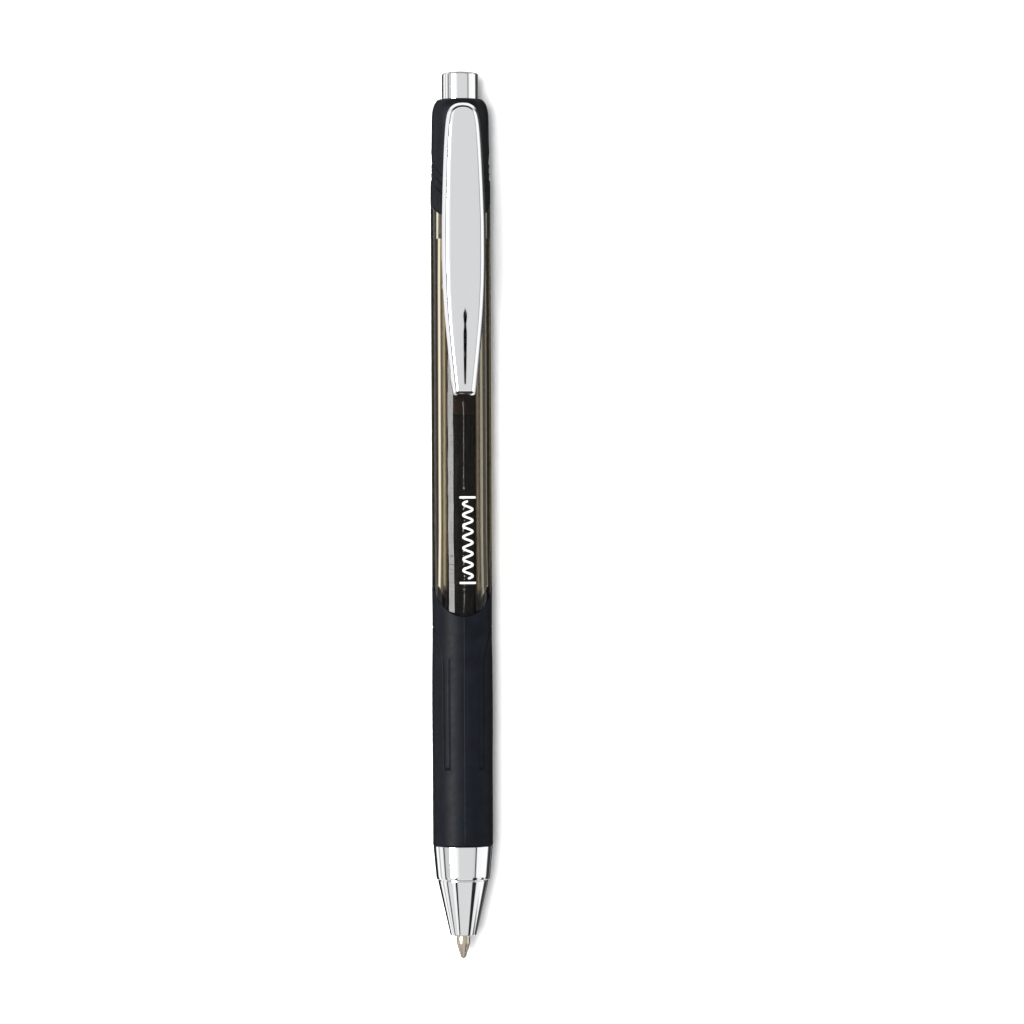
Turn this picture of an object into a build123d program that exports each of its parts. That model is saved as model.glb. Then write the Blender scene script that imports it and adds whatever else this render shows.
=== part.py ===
from build123d import *
import os
from math import radians, tan

# Retractable gel pen with its point out, lying along Y with the clip upwards.
# Every length is in millimetres. While a piece is being made, Y is the distance from the writing ball,
# X is across the pen and Z points from the pen's axis towards the clip. place() then moves it so that the
# origin is under the middle of the pen, on the surface that it lies on.

# Driving dimensions of the whole pen
LENGTH = 145.0                 # writing ball to top of push button, point out
BODY_R = 4.93                  # clear barrel, outside
BORE_R = 3.4                   # clear barrel, inside, along the refill
GRIP_R = 4.97                  # fattest place of the rubber grip
AXIS_Z = BODY_R                # height of the pen's axis above the surface; also half the grip's flats
SEAM = 0.04                    # gap between shells that butt together
PRESS_OVERTRAVEL = 1.5         # extra push needed to release the cam
RETRACT_STROKE = 5.5           # how far the point draws back

# Stations along the pen, from the writing ball
NOSE_FRONT = 3.8
NOSE_STEP = 12.8
GRIP_FRONT = 18.55
GRIP_BACK = 62.1               # middle of the oval joint with the barrel
COLLAR_BACK = 140.45

# Barrel
NECK_R = 4.25                  # reduced outside under the grip and under the collar
FRONT_BORE_R = 3.25            # tighter bore in front, under the grip
STUB_FRONT = 13.9
STUB_R = 3.85
BARREL_BACK = 128.0
SEAT_FRONT = 117.6             # wider bore from here back, where the cam guide is pressed in
SEAT_R = 3.82
GRIP_TONGUE = (5.0, 6.0)       # half axes of the oval joint between grip and barrel, across and along
COLLAR_TONGUE_R = 5.46         # scalloped joint between collar and barrel
COLLAR_TONGUE_Y = 125.65
CHEVRON_R = 5.0                # curved grooves on the collar's sides
CHEVRON_STATIONS = (128.7, 130.2, 131.6)
THREAD_PITCH = 1.0
THREAD_DEPTH = 0.12

# Cam: plunger, turning rotor and fixed guide
CAM_RIBS = 4
CAM_TEETH = 8
GUIDE_FRONT = 118.1
GUIDE_BACK = 131.4
GUIDE_R = 3.78
GUIDE_BORE_R = 2.62
SLOT_R = 3.35
SLOT_WIDTH = 1.6
RIB_R = 3.25
RIB_WIDTH = 1.2
CAM_BODY_R = 2.48
CAM_GAP = 0.05
TOOTH_HEIGHT = 1.0
BUTTON_R = 2.95
BUTTON_HOLE_R = 3.03

# Refill
REFILL_R = 3.1
REFILL_BORE_R = 2.65
REFILL_FRONT = 25.0
REFILL_BACK = 109.5
INK_LEVEL = 89.0
FOLLOWER_LENGTH = 4.0
PLUG_R = 2.62
TIP_R = 1.1
BALL_R = 0.35
SPRING_SEAT = 9.5
SPRING_COIL_R = 2.35
SPRING_WIRE_R = 0.2
SPRING_TURNS = 9
HOLDER_FLANGE = 23.5

# Clip
CLIP_WALL = 0.45
CLIP_END = 91.9
CLIP_MARGIN = 0.65             # width of the rolled margin beside the flat face
CLIP_PIVOT_Y = 135.2
FOOT_HALF = (1.25, 2.7)        # half width and half length of the clip's foot
FOOT_PLAY = 0.25


def place(piece):
    """Move a finished piece from the making frame to the pen's own frame."""
    return Pos(0, -LENGTH / 2, AXIS_Z) * piece


def turned(*outline):
    """Solid of revolution about the pen's axis; the outline is (radius, station) points."""
    return revolve(make_face(Polyline(*outline, close=True)), Axis.Y, 360)


def tube(inner, outer, front, back):
    """Plain tube about the pen's axis."""
    return turned((inner, front), (outer, front), (outer, back), (inner, back))


def rod(radius, front, back):
    """Plain rod about the pen's axis."""
    return turned((0, front), (radius, front), (radius, back), (0, back))


def upright(radius, station):
    """Round bar square to the pen's axis, standing towards the clip, for scalloped joints."""
    return Pos(0, station, 0) * Cylinder(radius, 4 * BODY_R)


def oval(station):
    """Oval bar square to the pen's axis, for the joint between grip and barrel."""
    return Pos(0, station, -2 * BODY_R) * extrude(Ellipse(*GRIP_TONGUE), 4 * BODY_R)


def block(half_x, front, back, low, high):
    """Box given by its half width, its two stations and its two heights."""
    size = Box(2 * half_x, back - front, high - low)
    return Pos(0, (front + back) / 2, (low + high) / 2) * size


def around(feature, count, first=0.0):
    """The same feature repeated evenly about the pen's axis."""
    return Part() + [Rot(0, first + 360 * i / count, 0) * feature for i in range(count)]


def sawtooth_cut(station, depth, outer, count=CAM_TEETH):
    """Ring of wedges that leaves sawteeth on an end face at the station."""
    half = outer * tan(radians(180 / count))
    wedge = Polyline((-half, station), (half, station), (half, station + depth), close=True)
    return around(extrude(make_face(wedge), outer + 1, dir=(0, 0, 1)), count)


def threads(radius, depth, first, last):
    """Thread ridges as rings, for the screwed joint of nose cone and barrel."""
    rings = Part()
    count = int((last - first) / THREAD_PITCH)
    for i in range(count):
        mid = first + (i + 0.5) * THREAD_PITCH
        rings += turned((radius - depth, mid - 0.3), (radius + depth, mid), (radius - depth, mid + 0.3))
    return rings


def make_barrel():
    """Clear tube: full diameter between the scalloped joints, reduced under grip and collar."""
    taper_front = 52.0
    taper_back = 56.0
    core = turned(
        (FRONT_BORE_R, STUB_FRONT),
        (STUB_R, STUB_FRONT),
        (STUB_R, GRIP_FRONT + 0.1),
        (NECK_R, GRIP_FRONT + 0.1),
        (NECK_R, BARREL_BACK),
        (SEAT_R, BARREL_BACK),
        (SEAT_R, SEAT_FRONT),
        (BORE_R, SEAT_FRONT),
        (BORE_R, taper_back),
        (FRONT_BORE_R, taper_front),
    )
    core += threads(STUB_R, THREAD_DEPTH, STUB_FRONT + 0.5, GRIP_FRONT - 0.5)
    skin = tube(NECK_R - 0.1, BODY_R, GRIP_BACK + SEAM, COLLAR_TONGUE_Y)
    tongue = tube(NECK_R - 0.1, BODY_R, GRIP_BACK - GRIP_TONGUE[1] - 1, GRIP_BACK + 0.5)
    tongue &= oval(GRIP_BACK + SEAM)
    skin = (skin + tongue) - upright(COLLAR_TONGUE_R + SEAM, COLLAR_TONGUE_Y)
    return core + skin


def grip_grooves():
    """Mould lines of the grip: a narrow panel on each quarter whose outer line runs out to the side."""
    width = 0.32
    depth = 0.22
    top = GRIP_R + 1
    low = GRIP_R - 0.07 - depth
    panel = Rot(0, 29, 0) * block(width / 2, 31.2, 49.0, low, top)
    panel += Rot(0, 41, 0) * block(width / 2, 31.2, 49.0, low, top)
    for angle in (31, 35, 39):
        panel += Rot(0, angle, 0) * block(0.25, 31.2, 31.2 + width, low, top)
    for i in range(4):
        step = Rot(0, 46.5 + 11 * i, 0) * Pos(0, 49.65 + 1.3 * i, 0)
        panel += step * Rot(0, 0, -36) * block(width / 2, -0.95, 0.95, low, top)
    half = panel + mirror(panel, Plane.YZ)
    return half + mirror(half, Plane.XY)


def make_grip_sleeve():
    """Rubber sleeve with a plain front, a slight belly flattened on its two mould lines, and a scalloped back."""
    front_r = 4.91
    outline = [
        Line((NECK_R, GRIP_FRONT), (front_r - 0.18, GRIP_FRONT)),
        ThreePointArc((front_r - 0.18, GRIP_FRONT), (front_r - 0.05, 18.6), (front_r, 18.75)),
        Line((front_r, 18.75), (front_r, 30.5)),
        Spline((front_r, 30.5), (GRIP_R, 41.5), (4.87, 52.5), (4.91, GRIP_BACK), tangents=((0, 1), (0, 1))),
        Line((4.91, GRIP_BACK), (NECK_R, GRIP_BACK)),
        Line((NECK_R, GRIP_BACK), (NECK_R, GRIP_FRONT)),
    ]
    sleeve = Rot(0, 70, 0) * revolve(make_face(outline), Axis.Y, 360)
    sleeve &= block(GRIP_R + 1, 0, LENGTH, -AXIS_Z, AXIS_Z)
    return sleeve - oval(GRIP_BACK) - grip_grooves()


def make_nose_cone():
    """Turned metal cone with a stepped band, screwed on the barrel's stub; the spring seats inside it."""
    outline = [
        Line((1.25, NOSE_FRONT), (1.85, NOSE_FRONT)),
        ThreePointArc((1.85, NOSE_FRONT), (2.07, 3.87), (2.17, 4.15)),
        Polyline((2.17, 4.15), (4.12, NOSE_STEP), (3.95, NOSE_STEP + 0.05), (3.95, 13.0), (4.2, 13.0)),
        ThreePointArc((4.2, 13.0), (4.33, 13.1), (4.38, 13.4)),
        Polyline(
            (4.38, 13.4),
            (4.86, GRIP_FRONT - SEAM),
            (4.0, GRIP_FRONT - SEAM),
            (4.0, 13.6),
            (2.7, 13.6),
            (2.7, SPRING_SEAT),
            (1.85, SPRING_SEAT),
            (1.85, 5.3),
            (1.25, 5.1),
            (1.25, NOSE_FRONT),
        ),
    ]
    return revolve(make_face(outline), Axis.Y, 360)


def make_rear_collar():
    """Black end piece: skirt over the barrel's neck, seat for the cam guide, hole for the button."""
    shoulder_y = 136.4
    side = Spline((4.93, 119.0), (4.91, 123.3), (4.825, 129.8), (4.70, 133.7), (4.665, shoulder_y))
    outline = [
        side,
        Spline((4.665, shoulder_y), (4.58, 138.3), (4.32, 139.5), (3.8, 140.27), (3.4, COLLAR_BACK)),
        Polyline(
            (3.4, COLLAR_BACK),
            (BUTTON_HOLE_R, COLLAR_BACK),
            (BUTTON_HOLE_R, GUIDE_BACK + 0.1),
            (GUIDE_R + 0.02, GUIDE_BACK + 0.1),
            (GUIDE_R + 0.02, BARREL_BACK + 0.1),
            (NECK_R, BARREL_BACK + 0.1),
            (NECK_R, 119.0),
            (4.93, 119.0),
        ),
    ]
    collar = revolve(make_face(outline), Axis.Y, 360)
    keep = upright(COLLAR_TONGUE_R, COLLAR_TONGUE_Y) + rod(6, COLLAR_TONGUE_Y, LENGTH)
    collar &= keep
    for station in CHEVRON_STATIONS:
        ring = upright(CHEVRON_R + 0.15, station) - upright(CHEVRON_R - 0.15, station)
        ring &= block(6, station - 6, station, -6, 6)
        ring -= block(2.9, station - 7, station + 1, -6, 6)
        collar -= ring - rod(4.58, 120, 136)
    half_x, half_y = FOOT_HALF
    recess = block(half_x + FOOT_PLAY, CLIP_PIVOT_Y - half_y - 0.35, CLIP_PIVOT_Y + half_y + 0.35, 3.9, 6)
    return collar - recess


def clip_section(station, half_width, top, edge, inset=0.0):
    """Cross-section of the pressed clip: crowned flat face, rolled margins, side walls down to the edge."""
    w = half_width - inset
    top = top - inset
    flat = max(w - CLIP_MARGIN, 0.3 * w)
    low = edge if inset == 0 else edge - 1.5
    points = [(-w, low), (-w, top - 0.75), (-flat, top - 0.12), (0, top)]
    points += [(flat, top - 0.12), (w, top - 0.75), (w, low)]
    return make_face(Polyline(*[(x, station, z) for x, z in points], close=True))


# Clip stations: distance from the ball, half width, height of the face, height of the side walls' edge
CLIP_SPINE = (
    (94.6, 2.14, 7.55, 6.75),
    (100.0, 2.84, 7.78, 6.9),
    (107.0, 3.33, 8.03, 6.8),
    (111.0, 3.48, 8.10, 6.0),
    (115.0, 3.55, 8.08, 5.1),
    (119.2, 3.55, 7.95, 4.45),
    (123.3, 3.46, 7.75, 4.15),
    (129.8, 3.22, 7.30, 4.1),
    (134.0, 3.00, 6.95, 4.15),
    (136.8, 2.72, 6.65, 4.4),
)


def make_clip():
    """Pressed metal clip: open channel with a rounded root, a foot in the collar and a contact bead."""
    outer = loft([clip_section(*row) for row in CLIP_SPINE])
    inner = loft([clip_section(*row, inset=CLIP_WALL) for row in CLIP_SPINE])
    root = [(136.8, 2.72, 6.65, 4.4), (138.5, 2.25, 6.15, 4.95), (139.5, 1.1, 5.8, 4.9)]
    outer += loft([clip_section(*row) for row in root], ruled=True)
    inner += loft([clip_section(*row, inset=CLIP_WALL) for row in (root[0], (138.3, 2.2, 6.2, 4.95))])
    tail = [(CLIP_END, 1.7, 7.15, 5.3), (92.4, 1.85, 7.4, 5.0), (94.6, 2.14, 7.55, 5.0)]
    outer += loft([clip_section(*row) for row in tail], ruled=True)
    bead = block(2.2, 93.1, 94.7, 4.8, 6.75)
    inner += block(1.6, 92.7, 94.7, 4.0, 6.9)
    half_x, half_y = FOOT_HALF
    foot = block(half_x, CLIP_PIVOT_Y - half_y, CLIP_PIVOT_Y + half_y, 4.2, 6.45)
    return outer - inner - bead + foot


def make_push_button():
    """Hollow metal cap with a small rounded rim."""
    rim = 0.4
    skirt = 133.1
    outline = [
        Polyline((2.5, skirt), (BUTTON_R, skirt), (BUTTON_R, LENGTH - rim)),
        RadiusArc((BUTTON_R, LENGTH - rim), (BUTTON_R - rim, LENGTH), -rim),
        Polyline((BUTTON_R - rim, LENGTH), (0, LENGTH), (0, LENGTH - 0.8), (2.5, LENGTH - 0.8), (2.5, skirt)),
    ]
    return revolve(make_face(outline), Axis.Y, 360)


def make_cam_plunger():
    """Plunger fixed in the button, with sawteeth in front and fins that slide in the guide's slots."""
    fin_front = 120.6
    fin_back = GUIDE_BACK - RETRACT_STROKE - CAM_GAP
    front = GUIDE_FRONT + CAM_GAP
    body = tube(1.6, CAM_BODY_R, front, LENGTH - 0.8)
    body += around(block(RIB_WIDTH / 2, fin_front, fin_back, 2.0, RIB_R), CAM_RIBS)
    return body - sawtooth_cut(front, TOOTH_HEIGHT, CAM_BODY_R)


def make_cam_rotor():
    """Rotor that sits on the refill: slanted ribs, a toothed crown and a centring spigot."""
    front = REFILL_BACK + 0.65 + CAM_GAP
    crown = GUIDE_FRONT - CAM_GAP
    body = turned(
        (0, front),
        (3.0, front),
        (3.2, front + 0.2),
        (3.2, front + 2.2),
        (CAM_BODY_R, front + 2.4),
        (CAM_BODY_R, crown),
        (1.7, crown),
        (1.7, crown - 1.2),
        (1.4, crown - 1.2),
        (1.4, crown + 3.0),
        (0, crown + 3.0),
    )
    ribs = around(block(RIB_WIDTH / 2, front + 2.2, crown, 2.0, RIB_R), CAM_RIBS)
    teeth = mirror(sawtooth_cut(-crown, TOOTH_HEIGHT, RIB_R), Plane.XZ) - rod(1.5, 100, 125)
    return body + ribs - teeth


def make_cam_guide():
    """Fixed sleeve with four through slots and a sawtooth front edge."""
    sleeve = tube(GUIDE_BORE_R, GUIDE_R, GUIDE_FRONT, GUIDE_BACK)
    sleeve -= around(block(SLOT_WIDTH / 2, GUIDE_FRONT - 1, GUIDE_BACK + 1, 2.0, SLOT_R), CAM_RIBS)
    return sleeve - sawtooth_cut(GUIDE_FRONT, TOOTH_HEIGHT, GUIDE_R)


def make_refill_tube():
    """Plain ink tube."""
    return tube(REFILL_BORE_R, REFILL_R, REFILL_FRONT, REFILL_BACK)


def make_refill_end_plug():
    """Vented end plug with a flange that the cam pushes on."""
    return turned(
        (0.4, 105.5),
        (PLUG_R, 105.5),
        (PLUG_R, REFILL_BACK),
        (REFILL_R, REFILL_BACK),
        (REFILL_R, REFILL_BACK + 0.65),
        (0.4, REFILL_BACK + 0.65),
    )


def make_ink_column():
    """The gel ink that fills the tube up to its level."""
    return rod(PLUG_R, 29.05, INK_LEVEL)


def make_ink_follower():
    """Clear grease that closes the ink; its back is dished."""
    front = INK_LEVEL + SEAM
    back = INK_LEVEL + FOLLOWER_LENGTH
    return turned((0, front), (PLUG_R, front), (PLUG_R, back), (1.6, back - 0.5), (0, back - 0.65))


def make_tip_holder():
    """Plastic adapter from the metal point to the ink tube; its flange carries the spring."""
    return turned(
        (0.95, 7.0),
        (1.55, 7.0),
        (1.7, 7.3),
        (1.7, 11.2),
        (1.95, 11.6),
        (1.95, HOLDER_FLANGE),
        (REFILL_R, HOLDER_FLANGE),
        (REFILL_R, REFILL_FRONT),
        (PLUG_R, REFILL_FRONT),
        (PLUG_R, 29.0),
        (0.95, 29.0),
    )


def make_ballpoint_tip():
    """Metal point: conical nose with a spherical socket, ink channel and a shank in the adapter."""
    body = turned(
        (0, 0.25),
        (0.42, 0.25),
        (TIP_R, 2.6),
        (TIP_R, 6.95),
        (0.93, 6.95),
        (0.93, 10.5),
        (0, 10.5),
    )
    socket = Pos(0, BALL_R, 0) * Sphere(BALL_R + 0.015)
    return body - socket - rod(0.2, 0.4, 10.6) - rod(0.5, 3.0, 10.6)


def make_writing_ball():
    """The ball that lays down the ink."""
    return Pos(0, BALL_R, 0) * Sphere(BALL_R)


def make_return_spring():
    """Round wire coil between the nose cone's seat and the adapter's flange."""
    start = SPRING_SEAT + SPRING_WIRE_R + CAM_GAP
    height = HOLDER_FLANGE - SPRING_WIRE_R - CAM_GAP - start
    path = Helix(height / SPRING_TURNS, height, SPRING_COIL_R)
    wire = sweep(Plane(path @ 0, z_dir=path % 0) * Circle(SPRING_WIRE_R), path, is_frenet=True)
    return Pos(0, start, 0) * Rot(-90, 0, 0) * wire


PIECES = {
    "barrel": make_barrel,
    "grip_sleeve": make_grip_sleeve,
    "nose_cone": make_nose_cone,
    "rear_collar": make_rear_collar,
    "clip": make_clip,
    "push_button": make_push_button,
    "cam_plunger": make_cam_plunger,
    "cam_rotor": make_cam_rotor,
    "cam_guide": make_cam_guide,
    "refill_tube": make_refill_tube,
    "refill_end_plug": make_refill_end_plug,
    "ink_column": make_ink_column,
    "ink_follower": make_ink_follower,
    "tip_holder": make_tip_holder,
    "ballpoint_tip": make_ballpoint_tip,
    "writing_ball": make_writing_ball,
    "return_spring": make_return_spring,
}

os.makedirs("parts", exist_ok=True)
for name, make in PIECES.items():
    export_step(place(make()), f"parts/{name}.step")
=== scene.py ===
import math

import bmesh
import bpy
import numpy as np
from mathutils import Matrix, Vector


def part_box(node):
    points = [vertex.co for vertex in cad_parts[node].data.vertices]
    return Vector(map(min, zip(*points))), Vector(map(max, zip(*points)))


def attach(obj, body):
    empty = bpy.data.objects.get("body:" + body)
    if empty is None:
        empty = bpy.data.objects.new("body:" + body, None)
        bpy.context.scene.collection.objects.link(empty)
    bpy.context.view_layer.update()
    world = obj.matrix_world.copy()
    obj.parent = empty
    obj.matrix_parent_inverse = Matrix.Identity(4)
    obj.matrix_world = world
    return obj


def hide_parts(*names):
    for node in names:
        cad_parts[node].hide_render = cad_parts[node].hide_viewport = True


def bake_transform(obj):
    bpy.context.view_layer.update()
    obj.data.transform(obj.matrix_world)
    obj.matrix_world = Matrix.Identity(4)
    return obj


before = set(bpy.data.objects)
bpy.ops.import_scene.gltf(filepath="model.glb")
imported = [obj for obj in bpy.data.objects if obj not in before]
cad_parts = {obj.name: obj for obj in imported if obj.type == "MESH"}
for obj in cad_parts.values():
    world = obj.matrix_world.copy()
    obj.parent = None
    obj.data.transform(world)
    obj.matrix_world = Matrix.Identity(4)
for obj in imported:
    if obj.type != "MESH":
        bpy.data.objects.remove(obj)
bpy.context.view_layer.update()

# ---------------------------------------------------------------------------
# Reference places, read from the frame. A "station" is the distance in
# millimetres from the writing ball along the pen's axis.
# ---------------------------------------------------------------------------
MM = 0.001
TIP_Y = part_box("writing_ball")[0][1]
BUTTON_LOW, BUTTON_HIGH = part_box("push_button")
AXIS_Z = 0.5 * (BUTTON_LOW[2] + BUTTON_HIGH[2])
LENGTH = (BUTTON_HIGH[1] - TIP_Y) / MM


def station(y):
    """Station, in millimetres, of a y coordinate in metres."""
    return (y - TIP_Y) / MM


def front_of(node):
    """Station of the end of a CAD node that is nearest the point."""
    return station(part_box(node)[0][1])


def back_of(node):
    """Station of the end of a CAD node that is nearest the button."""
    return station(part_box(node)[1][1])


def radius_of(node):
    """Largest radius of a CAD node about the pen's axis, in millimetres."""
    low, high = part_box(node)
    return 0.5 * (high[0] - low[0]) / MM


BODY_R = radius_of("barrel")
GRIP_R = radius_of("grip_sleeve")
BORE_R = 3.4
SEAT_R = 3.82                  # wider bore round the cam guide
SEAT_FRONT = 117.6
NECK_R = 4.25
GRIP_FRONT = front_of("grip_sleeve")
NOTCH_HALF = 5.0               # half width of the oval joint of grip and barrel
NOTCH_DEPTH = 6.0              # its half length
NOTCH_CENTRE = 62.1            # its centre's station
COLLAR_SCALLOP = 5.46          # radius of the scalloped joint of collar and barrel
COLLAR_CENTRE = 125.65         # its centre's station
CHEVRON_R = 5.0                # radius of the sunk chevrons on the collar's sides
COLLAR_BACK = back_of("rear_collar")
SEAM_GAP = 0.04


# ---------------------------------------------------------------------------
# Mesh helpers
# ---------------------------------------------------------------------------
def to_row_frame(points):
    """Array of (across, station, height over axis) in millimetres to metres in the row frame."""
    moved = np.array(points, dtype=float) * MM
    moved[..., 1] += TIP_Y
    moved[..., 2] += AXIS_Z
    return moved


def add_object(name, data):
    """Links a mesh, lamp or camera to the scene as an object."""
    thing = bpy.data.objects.new(name, data)
    bpy.context.scene.collection.objects.link(thing)
    return thing


def finish_mesh(name, mesh, body, material, nodes=(), sharp=40.0):
    """Links a mesh as a piece: smooth shading, its body, its material and the CAD nodes it stands for."""
    bm = bmesh.new()
    bm.from_mesh(mesh)
    bmesh.ops.remove_doubles(bm, verts=bm.verts, dist=1e-8)
    bmesh.ops.dissolve_degenerate(bm, edges=bm.edges, dist=1e-9)
    bmesh.ops.recalc_face_normals(bm, faces=bm.faces)
    bm.to_mesh(mesh)
    bm.free()
    mesh.polygons.foreach_set("use_smooth", [True] * len(mesh.polygons))
    mesh.set_sharp_from_angle(angle=math.radians(sharp))
    mesh.materials.append(material)
    piece = add_object(name, mesh)
    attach(piece, body)
    if nodes:
        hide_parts(*nodes)
    return piece


def grid_mesh(name, points, close_columns=True, close_rows=True):
    """Quad mesh from an array of points indexed by column and row."""
    columns, rows = points.shape[:2]
    index = np.arange(columns * rows).reshape(columns, rows)
    if close_columns:
        index = np.vstack([index, index[:1]])
    if close_rows:
        index = np.hstack([index, index[:, :1]])
    quads = np.stack([index[:-1, :-1], index[1:, :-1], index[1:, 1:], index[:-1, 1:]], axis=-1)
    mesh = bpy.data.meshes.new(name)
    mesh.from_pydata(to_row_frame(points).reshape(-1, 3).tolist(), [], quads.reshape(-1, 4).tolist())
    return mesh


def rounded(*corners, steps=6):
    """Closed outline through (radius, station) corners; a third value rounds that corner."""
    outline = []
    count = len(corners)
    for i, corner in enumerate(corners):
        here = Vector(corner[:2])
        if len(corner) < 3:
            outline.append((here.x, here.y))
            continue
        back = (Vector(corners[i - 1][:2]) - here).normalized()
        ahead = (Vector(corners[(i + 1) % count][:2]) - here).normalized()
        half = 0.5 * back.angle(ahead)
        reach = corner[2] / math.tan(half)
        centre = here + (back + ahead).normalized() * corner[2] / math.sin(half)
        first = here + back * reach - centre
        last = here + ahead * reach - centre
        for k in range(steps + 1):
            spoke = first.lerp(last, k / steps).normalized() * corner[2]
            outline.append((centre.x + spoke.x, centre.y + spoke.y))
    return outline


def turned(outline, angles):
    """Points of an outline of (radius, station) turned about the axis to each angle."""
    outline = np.array(outline)
    radius, along = outline[:, 0], outline[:, 1]
    return np.stack([
        np.stack([radius * math.sin(a), along, radius * math.cos(a)], axis=-1) for a in angles
    ])


def lathe(name, outline, body, material, nodes=(), steps=160, sharp=40.0):
    """Piece of revolution about the pen's axis."""
    angles = np.linspace(0, 2 * math.pi, steps, endpoint=False)
    mesh = grid_mesh(name, turned(outline, angles))
    return finish_mesh(name, mesh, body, material, nodes, sharp)


def ring_angles(base, dense=(), extra=()):
    """Sorted column angles in degrees: an even ring, closer columns about some angles, and extra ones."""
    angles = set(np.round(np.linspace(-180, 180, base, endpoint=False), 3))
    for centre, reach, step in dense:
        angles |= set(np.round(np.arange(centre - reach, centre + reach + 0.5 * step, step), 3))
    angles |= set(np.round(extra, 3))
    kept = []
    for angle in sorted((a + 180) % 360 - 180 for a in angles):
        if not kept or angle - kept[-1] > 0.05:
            kept.append(angle)
    return np.radians(kept)


def scallop_angles(scallop, radius, count=40):
    """Angles, front and back, that follow a scalloped edge evenly."""
    swing = np.linspace(-90, 90, count)
    side = np.degrees(np.arcsin(np.clip(scallop * np.sin(np.radians(swing)) / radius, -1, 1)))
    return np.concatenate([side, side + 180])


def smooth_through(x, xs, ys):
    """Smooth curve through points, without overshoot (monotone cubic)."""
    xs, ys = np.array(xs, float), np.array(ys, float)
    step = np.diff(xs)
    slope = np.diff(ys) / step
    tangent = np.zeros(len(xs))
    tangent[0], tangent[-1] = slope[0], slope[-1]
    same = slope[:-1] * slope[1:] > 0
    mean = 2 * slope[:-1] * slope[1:] / np.where(same, slope[:-1] + slope[1:], 1)
    tangent[1:-1] = np.where(same, mean, 0)
    x = np.clip(x, xs[0], xs[-1])
    i = np.clip(np.searchsorted(xs, x) - 1, 0, len(step) - 1)
    u = (x - xs[i]) / step[i]
    return (
        (2 * u**3 - 3 * u**2 + 1) * ys[i]
        + (u**3 - 2 * u**2 + u) * step[i] * tangent[i]
        + (-2 * u**3 + 3 * u**2) * ys[i + 1]
        + (u**3 - u**2) * step[i] * tangent[i + 1]
    )


def distance_to_path(px, py, path):
    """Distance from each point to a polyline."""
    best = np.full(px.shape, 1e9)
    for (ax, ay), (bx, by) in zip(path[:-1], path[1:]):
        dx, dy = bx - ax, by - ay
        u = np.clip(((px - ax) * dx + (py - ay) * dy) / (dx * dx + dy * dy), 0, 1)
        best = np.minimum(best, np.hypot(px - ax - u * dx, py - ay - u * dy))
    return best


# ---------------------------------------------------------------------------
# Materials
# ---------------------------------------------------------------------------
def new_material(name, **sockets):
    """Principled material; keyword names are its sockets with _ for a space."""
    material = bpy.data.materials.new(name)
    material.use_nodes = True
    shader = material.node_tree.nodes["Principled BSDF"]
    for key, value in sockets.items():
        shader.inputs[key.replace("_", " ")].default_value = value
    return material, material.node_tree, shader


def noise(tree, size, detail=4.0, stretch=(1, 1, 1), roughness=0.55):
    """Noise whose features measure about size millimetres, in the object's own space."""
    where = tree.nodes.new("ShaderNodeTexCoord")
    mapping = tree.nodes.new("ShaderNodeMapping")
    mapping.inputs["Scale"].default_value = stretch
    texture = tree.nodes.new("ShaderNodeTexNoise")
    texture.inputs["Scale"].default_value = 1 / (size * MM)
    texture.inputs["Detail"].default_value = detail
    texture.inputs["Roughness"].default_value = roughness
    tree.links.new(where.outputs["Object"], mapping.inputs["Vector"])
    tree.links.new(mapping.outputs["Vector"], texture.inputs["Vector"])
    return texture.outputs["Fac"]


def remap(tree, value, low, high, start=0.3, end=0.7):
    """Stretch the part of a value between start and end to low and high."""
    node = tree.nodes.new("ShaderNodeMapRange")
    for key, number in (("From Min", start), ("From Max", end), ("To Min", low), ("To Max", high)):
        node.inputs[key].default_value = number
    tree.links.new(value, node.inputs["Value"])
    return node.outputs["Result"]


def bump(tree, shader, *layers):
    """Bump layers of (height, depth in millimetres), one over the other."""
    normal = None
    for height, depth in layers:
        node = tree.nodes.new("ShaderNodeBump")
        node.inputs["Strength"].default_value = 1.0
        node.inputs["Distance"].default_value = depth * MM
        tree.links.new(height, node.inputs["Height"])
        if normal:
            tree.links.new(normal, node.inputs["Normal"])
        normal = node.outputs["Normal"]
    tree.links.new(normal, shader.inputs["Normal"])


def mix_colour(tree, value, dark, light):
    """Colour between two, by a value."""
    node = tree.nodes.new("ShaderNodeMix")
    node.data_type = "RGBA"
    node.inputs["A"].default_value = (*dark, 1)
    node.inputs["B"].default_value = (*light, 1)
    tree.links.new(value, node.inputs["Factor"])
    return node.outputs["Result"]


def mix_linked(tree, share, colour_a, colour_b):
    """Colour from one socket at share 0 to another at share 1."""
    node = tree.nodes.new("ShaderNodeMix")
    node.data_type = "RGBA"
    for key, socket in (("Factor", share), ("A", colour_a), ("B", colour_b)):
        tree.links.new(socket, node.inputs[key])
    return node.outputs["Result"]


def math_node(tree, operation):
    """Math node of one operation."""
    node = tree.nodes.new("ShaderNodeMath")
    node.operation = operation
    return node


def chrome_material():
    """Bright plating: mirror with handling haze and hairline scratches."""
    material, tree, shader = new_material("bright_chrome", Metallic=1.0, Base_Color=(0.93, 0.935, 0.94, 1))
    haze = noise(tree, 1.6, detail=6)
    hairs = noise(tree, 0.09, detail=2, stretch=(1, 0.02, 1))
    tree.links.new(remap(tree, haze, 0.02, 0.07), shader.inputs["Roughness"])
    bump(tree, shader, (hairs, 0.00012))
    return material


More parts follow.
